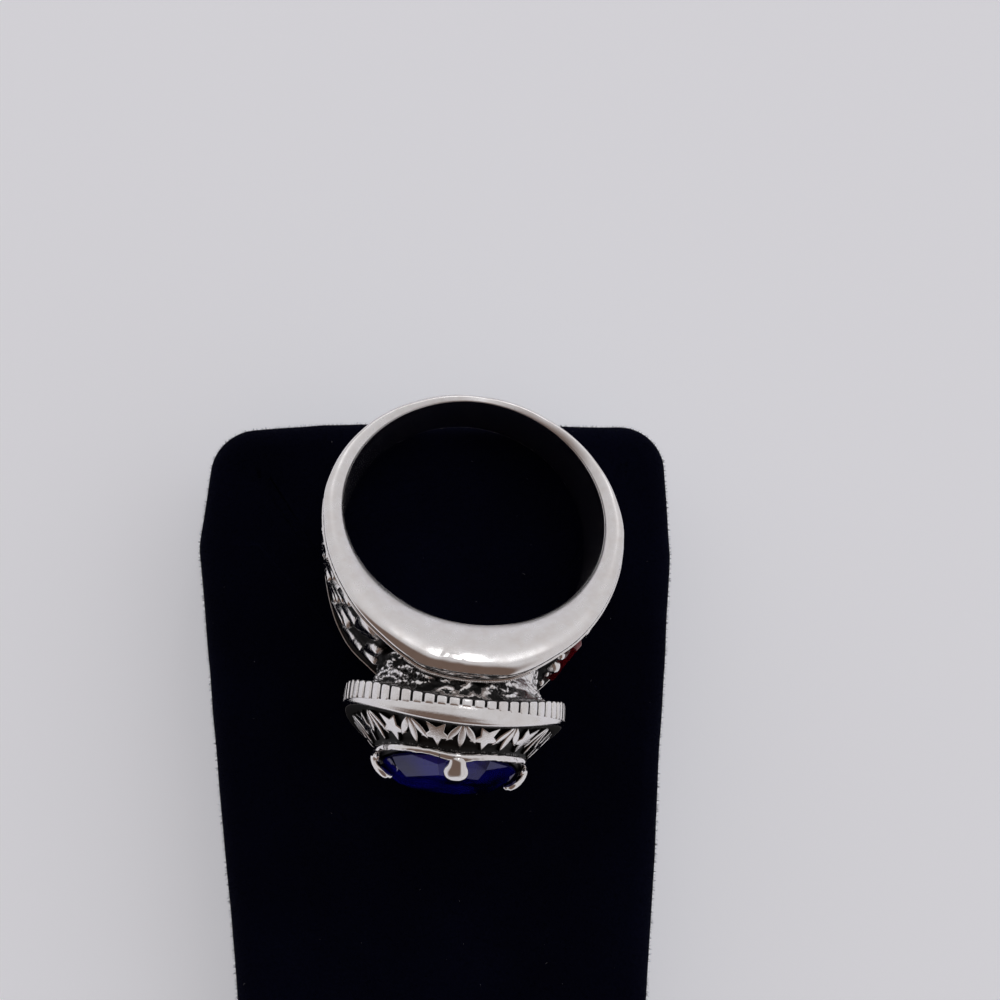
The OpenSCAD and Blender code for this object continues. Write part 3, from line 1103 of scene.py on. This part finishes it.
@dataclass
class HeadOrnament:
    """What stands round the head: the coin edge's reeds, and the stars and sprigs of the tapered band."""

    reeds: int = 60
    stars: int = 12
    # Where the reeds stand, and where the stars and sprigs do: radius, height, arch and lean
    edge: tuple = (7.76, 16.5, 0.034, 90)
    band: tuple = (6.2, 17.68, 0.03, 36)
    # For each layer its inset, height and patina
    reed_layers: tuple = ((0.0, -0.3, 1.0), (0.0, 0.2, 0.9), (0.04, 0.6, 0.3), (0.13, 0.84, 0.0),
                          (0.3, 0.96, 0.0), (0.6, 1.0, 0.0))
    star_layers: tuple = ((-0.04, -0.4, 1.0), (0.0, 0.7, 0.8), (0.06, 0.94, 0.0), (0.2, 1.0, 0.0))
    sprig_layers: tuple = ((-0.04, -0.4, 1.0), (0.0, 0.7, 0.8), (0.1, 0.94, 0.0), (0.35, 1.0, 0.0))
    # For each leaf of the sprig: place of its stalk, turn, length, width
    sprig_leaves: tuple = ((0.0, 0.0, 1.95, 0.2), (-0.08, 0.42, 1.65, 0.19), (0.08, -0.42, 1.65, 0.19))

    def reed_form(self) -> Object:
        """Make one reed, 1 mm wide and long before it is sized: flat topped, with soft corners.

        Returns:
            The form.
        """
        outline = []
        for a in np.linspace(0, 2 * math.pi, 24, endpoint=False):
            outline.append(tuple(0.5 * math.copysign(abs(x) ** 0.35, x) for x in (math.cos(a), math.sin(a))))
        return small_form("reed", [outline], self.reed_layers)

    def star_form(self) -> Object:
        """Make one star, 1 mm from its middle to its tips.

        Returns:
            The form.
        """
        outline = []
        for i in range(10):
            q = 1.0 if i % 2 == 0 else 0.44
            outline.append((-q * math.sin(math.pi / 5 * i), q * math.cos(math.pi / 5 * i)))
        return small_form("star", [outline], self.star_layers)

    def leaf_outline(self, x0: float, turn: float, length: float, width: float) -> list[tuple[float, float]]:
        """Give the outline of one leaf of the sprig, counter-clockwise from its stalk.

        Args:
            x0: place of its stalk.
            turn: turn in radians.
            length: length of the leaf.
            width: half of its widest width.

        Returns:
            The points.
        """
        side = [(width * math.sin(math.pi * k / 8) ** 0.8, length * k / 8) for k in range(9)]
        loop = side + [(-x, y) for x, y in side[-2:0:-1]]
        c, s = math.cos(turn), math.sin(turn)
        return [(x0 + x * c - y * s, -0.95 + x * s + y * c) for x, y in loop]

    def sprig_form(self) -> Object:
        """Make one sprig of three leaves that spread from a stalk, 1 mm from its middle to its tips."""
        return small_form("sprig", [self.leaf_outline(*one) for one in self.sprig_leaves], self.sprig_layers)

    def build(self, relief: Material) -> list[Object]:
        """Set the reeds, stars and sprigs round the head.

        Args:
            relief: the finish.

        Returns:
            The three finished pieces.
        """
        reeds = RingOfThings("reeds", self.reeds, *self.edge, (0.7, 1.46, 0.22), shorten=0.6, drop=0.43,
                             jitter=0.03)
        stars = RingOfThings("band_stars", self.stars, *self.band, (1.12, 1.1, 0.32), first=180 / self.stars,
                             jitter=0.04, seed=3)
        sprigs = RingOfThings("band_sprigs", self.stars, *self.band, (1.3, 1.08, 0.32), jitter=0.05, seed=5)
        return [reeds.build(self.reed_form(), relief), stars.build(self.star_form(), relief),
                sprigs.build(self.sprig_form(), relief)]


@dataclass
class Milgrain:
    """The row of fine grains on the ridge under the lip, set by Geometry Nodes on points along it."""

    shank: Shank
    grains: int = 64
    reach: float = 18.0
    size: float = 0.085
    jitter: float = 0.18
    seed: int = 13

    def grain_form(self) -> Object:
        """Make one grain as a ball of 1 mm radius.

        Returns:
            The form.
        """
        rows, sides = 6, 8
        ball = []
        for b in np.linspace(0.12, math.pi - 0.12, rows):
            for c in np.linspace(0, 2 * math.pi, sides, endpoint=False):
                ball.append((math.sin(b) * math.cos(c), math.sin(b) * math.sin(c), math.cos(b)))
        n = len(ball)
        return new_form("grain", np.array(ball), capped_faces(rows, sides, flip=True), patina=np.zeros(n),
                        polish=np.ones(n))

    def build(self, silver: Material) -> Object:
        """Set the grains along both edges.

        Args:
            silver: the finish.

        Returns:
            The finished piece.
        """
        kinds = {"Geometry": "Geometry", "Form": "Object", "Size": "Float", "Jitter": "Float", "Seed": "Int"}
        tree, add, given = open_tree("milgrain", kinds)
        scale = add(MATH, MULTIPLY, {0: vary(add, given), 1: given["Size"]})
        end_tree(add, given, {"Points": given["Geometry"], "Scale": scale}, silver)
        line = np.vstack([self.shank.ridge_line(side, self.reach, self.grains) for side in (1, -1)])
        start = bpy.data.meshes.new("milgrain")
        start.from_pydata(line.tolist(), [], [])
        values = {"Form": self.grain_form(), "Size": self.size, "Jitter": self.jitter, "Seed": self.seed}
        return run_tree(tree, values, start, REST.matrix(), silver)


@dataclass
class Setting:
    """The rim and the four claws that hold the stone."""

    head: Head
    arch: float = 0.025
    # The rim's wire: radius and height of its middle, half its width and height, how it thins between claws
    rim_r: float = 5.4
    rim_z: float = 19.04
    rim_half: float = 0.22
    rim_rise: float = 0.29
    rim_thins: float = 0.05
    rim_uneven: float = 0.05
    # Outer radius and height, inner radius and height, width: from a claw's foot to its tip
    profile: tuple = (
        (5.3, 18.75, 4.95, 18.8, 2.9), (5.5, 18.95, 4.93, 18.87, 2.0), (5.62, 19.15, 4.9, 18.92, 1.42),
        (5.62, 19.45, 4.85, 18.97, 1.14), (5.44, 19.88, 4.78, 19.02, 1.22), (5.14, 20.27, 4.6, 19.12, 1.54),
        (4.8, 20.5, 4.42, 19.25, 1.68), (4.45, 20.58, 4.2, 19.4, 1.46), (4.15, 20.45, 4.02, 19.55, 0.95),
    )
    # Each claw's angle round the head and how far its outer side is worn down
    worn: tuple = ((0, 0.0), (90, 0.0), (180, 0.0), (270, 0.8))

    def rim(self, silver: Material) -> Object:
        """Build the rim as a flattened wire that swells where it runs into each claw.

        Args:
            silver: the finish.

        Returns:
            The finished rim.
        """
        count, sides = 480, 18
        points = []
        for a in np.linspace(0, 2 * math.pi, count, endpoint=False):
            dip = float(self.head.dip(a))
            z = self.rim_z - self.head.scallop * dip - self.arch * (self.rim_r * math.cos(a)) ** 2
            rise = self.rim_rise - self.rim_thins * dip
            for b in np.linspace(0, 2 * math.pi, sides, endpoint=False):
                q = self.rim_r + self.rim_half * math.copysign(abs(math.cos(b)) ** 0.8, math.cos(b))
                points.append((a, q, z + rise * math.sin(b)))
        points = on_head(*np.array(points).T)
        lumps = rough(points, 0.9, 6.0)
        points = points + np.outer(lumps, (0, 0, self.rim_uneven))
        shine = {"patina": 0.5 * smoothstep(0.2, 0.7, lumps), "polish": 0.4 * (lumps < 0.2)}
        return new_piece("rim", REST.lay(points), grid_faces(count, sides, True, True), silver,
                         attributes=shine)

    def claw_rows(self, angle: float, worn: float) -> list[Array]:
        """Give the claw's profile as a smooth run of rows with a rounded tip.

        Args:
            angle: its place round the head, in degrees.
            worn: how far its outer side is worn down.

        Returns:
            Rows of outer radius and height, inner radius and height, and width.
        """
        rows = np.array(self.profile, dtype=float)
        rows[:, 1] -= worn + self.arch * (rows[:, 0] * math.cos(math.radians(angle))) ** 2
        steps, last = 7, len(rows) - 1
        fine = []
        for i in range(last):
            p0, p1, p2, p3 = rows[max(i - 1, 0)], rows[i], rows[i + 1], rows[min(i + 2, last)]
            for k in range(steps):
                x = k / steps
                bend = (2 * p0 - 5 * p1 + 4 * p2 - p3) * x * x + (3 * p1 - p0 - 3 * p2 + p3) * x ** 3
                fine.append(0.5 * (2 * p1 + (p2 - p0) * x + bend))
        tail = rows[-1]
        middle = np.array([(tail[0] + tail[2]) / 2, (tail[1] + tail[3]) / 2] * 2 + [0.0])
        for x in (0.0, 0.3, 0.55, 0.75, 0.9):
            step = np.array([-0.25 * x, -0.02 * x, -0.25 * x, -0.02 * x, 0.0])
            fine.append(middle + (tail - middle) * math.sqrt(1 - x * x) + step)
        return fine

    def claw(self, angle: float, worn: float, silver: Material) -> Object:
        """Build one claw with a rounded, faintly hollow tip.

        Args:
            angle: its place round the head, in degrees.
            worn: how far its outer side is worn down.
            silver: the finish.

        Returns:
            The finished claw.
        """
        rows = self.claw_rows(angle, worn)
        a, sides = math.radians(angle), 40
        points = []
        for i, row in enumerate(rows):
            place = i / len(rows)
            tip = float(smoothstep(0.45, 0.7, place)) * float(smoothstep(1.0, 0.9, place))
            for b in -np.linspace(0, 2 * math.pi, sides, endpoint=False):
                c = math.cos(b)
                if c > 0:
                    c *= 1 - 0.12 * tip * c ** 6
                r = (row[0] + row[2]) / 2 + (row[0] - row[2]) / 2 * c
                z = (row[1] + row[3]) / 2 + (row[1] - row[3]) / 2 * c
                s = row[4] / 2 * math.sin(b)
                points.append((r * math.cos(a) - s * math.sin(a), r * math.sin(a) + s * math.cos(a), z))
        n = len(points)
        return new_piece(f"claw_{int(angle):03d}", REST.lay(np.array(points)), capped_faces(len(rows), sides),
                         silver, attributes={"patina": np.zeros(n), "polish": np.ones(n)})


@dataclass
class Stone:
    """The round blue stone: table, two tiers of crown facets, girdle and pavilion."""

    radius: float = 4.75
    shoulder_r: float = 4.35
    shoulder_z: float = 0.55
    table_r: float = 3.5
    turn: float = 16.0
    girdle_z: float = 18.65
    girdle_h: float = 0.2
    crown: float = 1.1
    pavilion: float = 3.0

    def corners(self, r: float, z: float, n: int) -> list[tuple[float, float, float]]:
        """Give n corners at one height over the girdle, the first near the right."""
        angles = [math.radians(self.turn) + 2 * math.pi / n * i for i in range(n)]
        return [(r * math.cos(a), r * math.sin(a), self.girdle_z + z) for a in angles]

    def build(self, glass: Material) -> Object:
        """Build the stone with flat facets: eight sides on the table and upper tier, sixteen at the girdle.

        Args:
            glass: the finish.

        Returns:
            The finished stone.
        """
        points = self.corners(0.05, -self.pavilion, 8) + self.corners(self.radius * 0.99, 0.0, 16)
        points += self.corners(self.radius, self.girdle_h, 16)
        points += self.corners(self.shoulder_r, self.girdle_h + self.shoulder_z, 8)
        points += self.corners(self.table_r, self.girdle_h + self.crown, 8)
        low, under, over, mid, top = 0, 8, 24, 40, 48
        faces = []
        for i in range(8):
            j = (i + 1) % 8
            a, b, c = 2 * i, 2 * i + 1, (2 * i + 2) % 16
            faces += [[low + j, low + i, under + b], [low + i, under + a, under + b],
                      [low + j, under + b, under + c]]
            faces += [[over + a, over + b, mid + i], [over + b, over + c, mid + j],
                      [over + b, mid + j, mid + i], [mid + i, mid + j, top + j, top + i]]
        faces += [[under + i, under + (i + 1) % 16, over + (i + 1) % 16, over + i] for i in range(16)]
        faces.append([top + i for i in range(8)])
        faces.append([low + i for i in range(8)][::-1])
        return new_piece("stone_cut", REST.lay(np.array(points)), faces, glass, smooth=False)


@dataclass
class EnamelBars:
    """The two bars of red enamel between the raised bars of the right shoulder."""

    shank: Shank
    lift: float = 0.02
    rows: int = 22
    columns: int = 60
    # For each bar its first and last angle, half length across and height
    bars: tuple = ((36.0, 41.0, 4.7, 0.72), (47.2, 51.5, 4.3, 0.5))

    def build(self, enamel: Material) -> Object:
        """Build both bars as low closed cushions over the panel's floor.

        Args:
            enamel: the finish.

        Returns:
            The finished bars.
        """
        points, faces = [], []
        n, m = self.rows, self.columns
        for start, end, half, rise in self.bars:
            base = len(points)
            for top in (True, False):
                for k in range(n * m):
                    f, g = (k // m) / (n - 1), (k % m) / (m - 1)
                    t, v = start + (end - start) * f, -half + 2 * half * g
                    edge = min(1.0, min(f, 1 - f) * 4) ** 0.5 * min(1.0, min(g, 1 - g) * 14) ** 0.5
                    r = float(self.shank.floor_r(t, v)) + self.lift + (rise * edge if top else -0.04)
                    points.append((t, v, r))
            faces += (grid_faces(n, m, flip=True) + base).tolist()
            faces += (grid_faces(n, m) + base + n * m).tolist()
            loop = list(range(m)) + [i * m + m - 1 for i in range(1, n)]
            loop += [(n - 1) * m + j for j in range(m - 2, -1, -1)] + [i * m for i in range(n - 2, 0, -1)]
            for one, two in zip(loop, loop[1:] + loop[:1]):
                faces.append([base + one, base + two, base + n * m + two, base + n * m + one])
        return new_piece("enamel_bars", REST.lay(on_band(*np.array(points).T)), faces, enamel)


@dataclass
class DisplayPad:
    """The velvet-covered block, its pile and the lint on it. Its corners are as in the part's source."""

    thick: float = 12.0
    edge: float = 2.5
    # For each corner the middle of its round, seen from the ring's middle, and its radius
    corners: tuple = ((-16.9, 5.0, 3.9), (-11.5, 5.8, 3.9), (13.9, 6.6, 4.0), (14.1, -1.0, 4.1),
                      (9.1, -44.7, 5.0), (-10.1, -44.7, 5.0), (-17.2, -1.0, 4.1))
    # Height and width of one fibre of the pile and of the lint, in millimetres
    pile_fibre: tuple[float, float] = (0.3, 0.05)
    lint_fibre: tuple[float, float] = (0.22, 0.04)

    def outline(self, count: int) -> tuple[Array, Array]:
        """Give even points round the pad, with their outward directions.

        Args:
            count: number of points.

        Returns:
            The points and the directions, in millimetres in the row's frame.
        """
        angles = np.linspace(0, 2 * math.pi, 1440, endpoint=False)
        out = np.stack([np.cos(angles), np.sin(angles)], axis=1)
        centres = np.array([(x + REST.at[0], y + REST.at[1]) for x, y, _ in self.corners])
        radii = np.array([r for _, _, r in self.corners])
        best = np.argmax(centres @ out.T + radii[:, None], axis=0)
        points = centres[best] + out * radii[best][:, None]
        loop = np.vstack([points, points[:1]])
        way = np.concatenate([[0], np.cumsum(np.linalg.norm(np.diff(loop, axis=0), axis=1))])
        even = np.linspace(0, way[-1], count, endpoint=False)
        x, y = np.interp(even, way, loop[:, 0]), np.interp(even, way, loop[:, 1])
        theta = np.interp(even, way, np.concatenate([angles, [2 * math.pi]]))
        return np.stack([x, y], axis=1), np.stack([np.cos(theta), np.sin(theta)], axis=1)

    def block(self, velvet: Material) -> Object:
        """Build the block with a soft top edge and a slightly uneven cover.

        Args:
            velvet: the finish.

        Returns:
            The finished block.
        """
        count = 360
        points, out = self.outline(count)
        rings = [(0.35, 0.0), (0.08, 0.15), (0.0, 0.6)]
        rings += [(0.0, z) for z in np.linspace(1.5, self.thick - self.edge, 8)]
        for b in np.linspace(0.12, math.pi / 2, 14):
            rings.append((self.edge * (1 - math.cos(b)), self.thick - self.edge * (1 - math.sin(b))))
        rings += [(self.edge + d, self.thick) for d in (1.0, 2.2)]
        verts = [np.column_stack([points - out * inset, np.full(count, z)]) for inset, z in rings]
        centre = verts[-1].mean(axis=0)
        verts += [centre + (verts[len(rings) - 1] - centre) * share for share in (0.8, 0.6, 0.4, 0.2, 0.08)]
        grid = np.vstack(verts)
        wave = rough(grid, 9.0, 2.0, 2)
        side = smoothstep(0.6, 2.0, grid[:, 2]) * smoothstep(self.thick, self.thick - 0.3, grid[:, 2])
        grid[:, :2] += np.tile(out, (len(verts), 1)) * (0.1 * wave * side)[:, None]
        grid[:, 2] -= 0.04 * np.clip(wave + 0.4, 0, 2) * (grid[:, 2] > self.thick - 0.05)
        return new_piece("velvet_pad", grid * MM, capped_faces(len(verts), count), velvet)

    def fibres(self, name: str, ground: Object, form: Object, material: Material, values: dict) -> Object:
        """Stand copies of a fibre on the block by Geometry Nodes.

        Args:
            name: the piece's name.
            ground: the block that they stand on.
            form: one fibre, drawn upright in metres.
            material: the finish.
            values: the tree's sizes by name.

        Returns:
            The finished piece.
        """
        kinds = {"Geometry": "Geometry", "Form": "Object", "Seed": "Int"}
        sizes = ("Density", "Shortest", "Longest", "Lean", "Lowest")
        tree, add, given = open_tree(name, kinds | {key: "Float" for key in sizes})
        seed = {"Seed": given["Seed"]}
        where = add("GeometryNodeInputPosition")
        part = add("ShaderNodeSeparateXYZ", {}, {0: where})
        high = add(MATH, {"operation": "GREATER_THAN"}, {0: part.outputs[2], 1: given["Lowest"]})
        spread = add("GeometryNodeDistributePointsOnFaces", {},
                     {"Mesh": given["Geometry"], "Density": given["Density"], "Selection": high, **seed})
        tilt = add("FunctionNodeRandomValue",
                   {"data_type": "FLOAT_VECTOR", 0: (-1, -1, -3.14), 1: (1, 1, 3.14)}, seed)
        lean = add(COMBINE, {"Z": 1.0}, {"X": given["Lean"], "Y": given["Lean"]})
        turn = add("ShaderNodeVectorMath", MULTIPLY, {0: tilt, 1: lean})
        local = add("FunctionNodeRotateRotation", {"rotation_space": "LOCAL"},
                    {0: spread.outputs["Rotation"], 1: turn})
        size = add("FunctionNodeRandomValue", {"data_type": "FLOAT"},
                   {2: given["Shortest"], 3: given["Longest"], **seed})
        end_tree(add, given, {"Points": spread, "Rotation": local, "Scale": size.outputs[1]}, material)
        return run_tree(tree, {"Form": form, **values}, ground.data.copy(), Matrix.Scale(1 / MM, 4), material)

    def blade(self, name: str, height: float, width: float) -> Object:
        """Make one upright fibre as a narrow three-sided spike.

        Args:
            name: the form's name.
            height: height of the fibre, in millimetres.
            width: width of its foot, in millimetres.

        Returns:
            The form, in metres.
        """
        foot = [(width / 2 * math.cos(a), width / 2 * math.sin(a), -height * 0.1) for a in (0.0, 2.09, 4.19)]
        points = np.array([*foot, (0.15 * height, 0.0, height)]) * MM
        return new_form(name, points, [[0, 1, 3], [1, 2, 3], [2, 0, 3], [2, 1, 0]])

    def build(self, velvet: Material, lint: Material) -> list[Object]:
        """Build the block, its pile and the lint that has settled on it.

        Args:
            velvet: the finish of the block and its pile.
            lint: the finish of the lint.

        Returns:
            The three finished pieces.
        """
        block = self.block(velvet)
        pile = self.fibres("velvet_pile", block, self.blade("pile_fibre", *self.pile_fibre), velvet,
                           {"Density": 9e6, "Shortest": 0.5, "Longest": 1.1, "Lean": 0.5, "Lowest": 1.5 * MM,
                            "Seed": 11})
        dust = self.fibres("lint", block, self.blade("lint_fibre", *self.lint_fibre), lint,
                           {"Density": 3e4, "Shortest": 0.3, "Longest": 1.1, "Lean": 1.5, "Lowest": 10.0 * MM,
                            "Seed": 29})
        return [block, pile, dust]


@dataclass(frozen=True)
class Lamp:
    """One soft area lamp of the studio, in metres and watts."""

    name: str
    at: tuple[float, float, float]
    size: tuple[float, float]
    power: float
    colour: str
    aim: tuple[float, float, float] = (0, 0.01, 0.015)

    def hang(self) -> None:
        """Hang the lamp so that it shines at the ring."""
        data = bpy.data.lights.new(self.name, "AREA")
        data.shape = "RECTANGLE"
        data.size, data.size_y = self.size
        data.energy = self.power
        data.color = to_linear(self.colour)[:3]
        obj = bpy.data.objects.new(self.name, data)
        obj.location = self.at
        obj.rotation_mode = "QUATERNION"
        obj.rotation_quaternion = (Vector(self.at) - Vector(self.aim)).to_track_quat("Z", "Y")
        bpy.context.scene.collection.objects.link(obj)


@dataclass(frozen=True)
class Studio:
    """The pale card, the soft light and the camera at the photograph's angle, in metres."""

    floor_size: float = 1.2
    pale: str = "CCCACB"
    shade: str = "6C5B52"
    shade_at: tuple[float, float, float] = (-0.32, -0.56, 0.77)
    window: Lamp = Lamp("window", (0.128, 0.514, 0.53), (0.07, 0.28), 0.11, "FFFFFF")
    lens: float = 37.415
    camera_at: tuple[float, float, float] = (-0.00777294, 0.00330505, 0.09550954)
    camera_turn: tuple[float, float, float, float] = (0.99112617, 0.11101182, -0.07263869, 0.00830117)

    def floor(self, card: Material) -> None:
        """Lay the card as the stage.

        Args:
            card: its finish.
        """
        bpy.ops.mesh.primitive_plane_add(size=self.floor_size, location=(0, 0, 0))
        floor = bpy.context.object
        floor.name = "floor"
        floor.data.materials.append(card)

    def room(self) -> None:
        """Build the light of a pale room, with a warm dark shape that leans in from the left front."""
        world = bpy.data.worlds.new("studio")
        bpy.context.scene.world = world
        world.use_nodes = True
        world.node_tree.nodes.clear()
        add = partial(add_node, world.node_tree)
        way = add("ShaderNodeTexCoord").outputs["Generated"]
        near = add("ShaderNodeVectorMath", {"operation": "DOT_PRODUCT", 1: self.shade_at}, {0: way})
        lobe = add(RANGE, {"interpolation_type": "SMOOTHSTEP", "From Min": 0.45, "From Max": 0.72},
                   {"Value": near.outputs["Value"]})
        parts = add("ShaderNodeSeparateXYZ", {}, {0: way})
        foot = add(RANGE, {"From Min": -0.05, "From Max": 0.25, "To Min": 0.6}, {"Value": parts.outputs[2]})
        share = add(MATH, MULTIPLY, {0: lobe, 1: foot})
        sky = add(MIX, {"data_type": "RGBA", 6: to_linear(self.pale), 7: to_linear(self.shade)}, {0: share})
        back = add("ShaderNodeBackground", {"Strength": 1.0}, {"Color": sky.outputs[2]})
        add("ShaderNodeOutputWorld", {}, {"Surface": back})

    def camera(self) -> None:
        """Set the camera where the photograph was taken."""
        data = bpy.data.cameras.new("photo_camera")
        data.lens = self.lens
        data.clip_start = 0.001
        camera = bpy.data.objects.new("photo_camera", data)
        camera.location = self.camera_at
        camera.rotation_mode = "QUATERNION"
        camera.rotation_quaternion = self.camera_turn
        bpy.context.scene.collection.objects.link(camera)
        bpy.context.scene.camera = camera

    def set_up(self, card: Material) -> None:
        """Lay the card, light it softly and set the camera.

        Args:
            card: the finish of the floor.
        """
        self.floor(card)
        bpy.context.scene.view_settings.view_transform = "Standard"
        self.room()
        self.window.hang()
        self.camera()


def main() -> None:
    """Build each sub-assembly in order, dress it and report it."""
    logging.basicConfig(level=logging.INFO, format="%(name)s %(message)s")
    satin = CastSilver(SilverWork.SATIN, 0.3, 0.0012).build()
    polished = CastSilver(SilverWork.POLISHED, 0.12, 0.001).build()
    relief = CastSilver(SilverWork.RELIEF, 0.22, 0.006).build()
    Studio().set_up(PlainFinish("pale_card", "E2E4EA", 0.04, 0.45).build())
    shank = Shank()
    head = Head()
    setting = Setting(head)
    hand_over(shank.build(satin), "cast_silver", "ring_body")
    shoulders = Shoulders(shank)
    for side in (-1, 1):
        hand_over(shoulders.build(side, relief), "cast_silver", "ring_body")
    hand_over(head.build(relief), "cast_silver", "ring_body")
    for piece in HeadOrnament().build(relief):
        hand_over(piece, "cast_silver", "ring_body")
    hand_over(Milgrain(shank).build(polished), "cast_silver", "ring_body")
    hand_over(setting.rim(polished), "cast_silver", "ring_body")
    for angle, worn in setting.worn:
        hand_over(setting.claw(angle, worn, polished), "cast_silver", "ring_body")
    hand_over(Stone().build(StoneGlass().build()), "blue_stone", "stone")
    hand_over(EnamelBars(shank).build(FiredEnamel().build()), "red_enamel", "enamel")
    lint = PlainFinish("lint_fibre", "8A8A90", 3.0).build()
    block, *fibres = DisplayPad().build(FlockedVelvet().build(), lint)
    hand_over(block, "black_velvet", "display_pad")
    for piece in fibres:
        hand_over(piece, "black_velvet", "display_pad")


if __name__ == "__main__":
    main()
